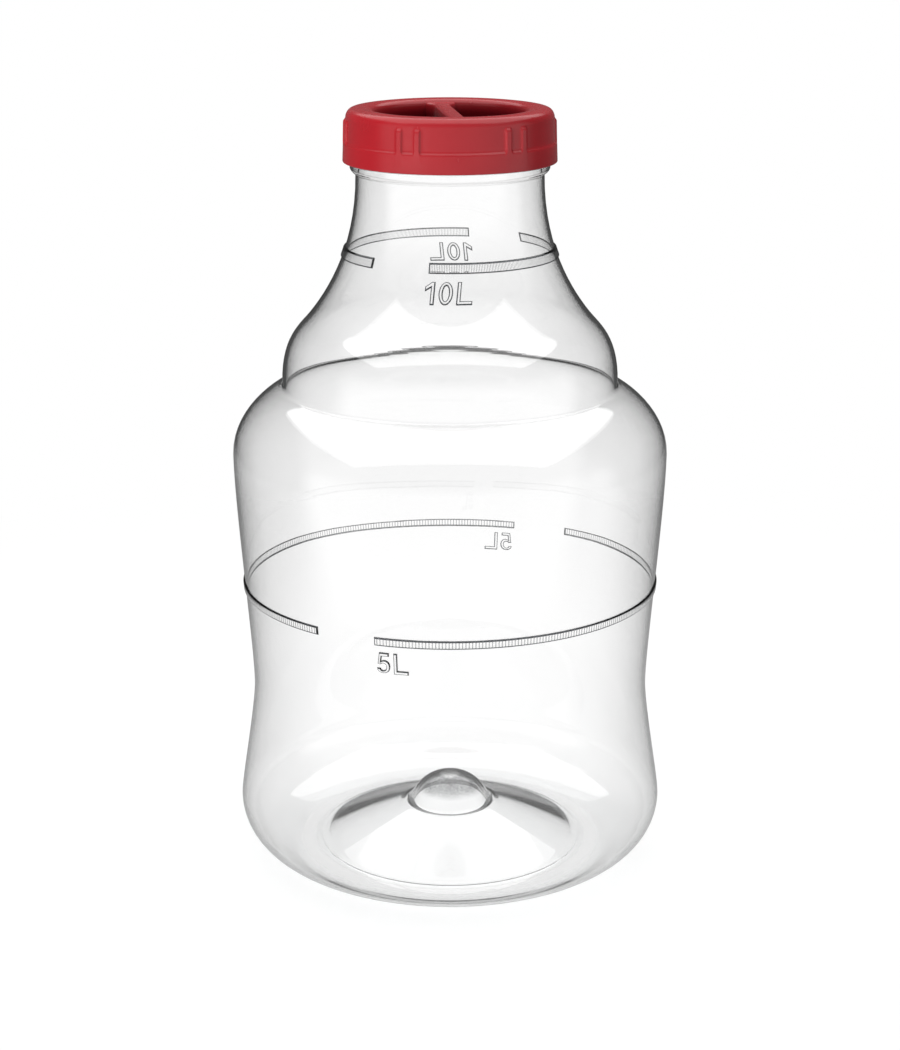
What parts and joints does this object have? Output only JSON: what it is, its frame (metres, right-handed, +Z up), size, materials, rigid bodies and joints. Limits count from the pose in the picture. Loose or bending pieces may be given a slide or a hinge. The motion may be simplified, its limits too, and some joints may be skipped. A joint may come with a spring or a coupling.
{
  "type": "demijohn",
  "caption": "Clear wide-neck demijohn with a waisted body and raised capacity bands, closed by a red screw cap with a hand recess and a cross bar over a flat ring seal.",
  "frame": {"origin": "middle of the ring that the vessel stands on, at floor level", "axes": "+Z up along the vessel's axis, -Y towards the front of the picture, +X to its right"},
  "size_m": [0.228, 0.228, 0.4],
  "materials": {
    "clear_plastic": "clear, glossy, blown",
    "red_plastic": "moulded, satin gloss",
    "seal_rubber": "matt, off-white"
  },
  "bodies": {
    "vessel": {"vessel": "clear_plastic"},
    "seal": {"cap_seal": "seal_rubber"},
    "cap": {"screw_cap": "red_plastic"}
  },
  "joints": [
    {"name": "cap_rise", "type": "slide", "parent": "vessel", "child": "seal", "axis": [0, 0, 1], "range_m": [0, 0.032]},
    {"name": "cap_turn", "type": "hinge", "parent": "seal", "child": "cap", "pos_m": [0, 0, 0.3729], "axis": [0, 0, 1], "range_deg": [0, 960]}
  ],
  "couplings": [
    {"joint": "cap_rise", "follows": "cap_turn", "m_per_rad": 0.0019098}
  ]
}
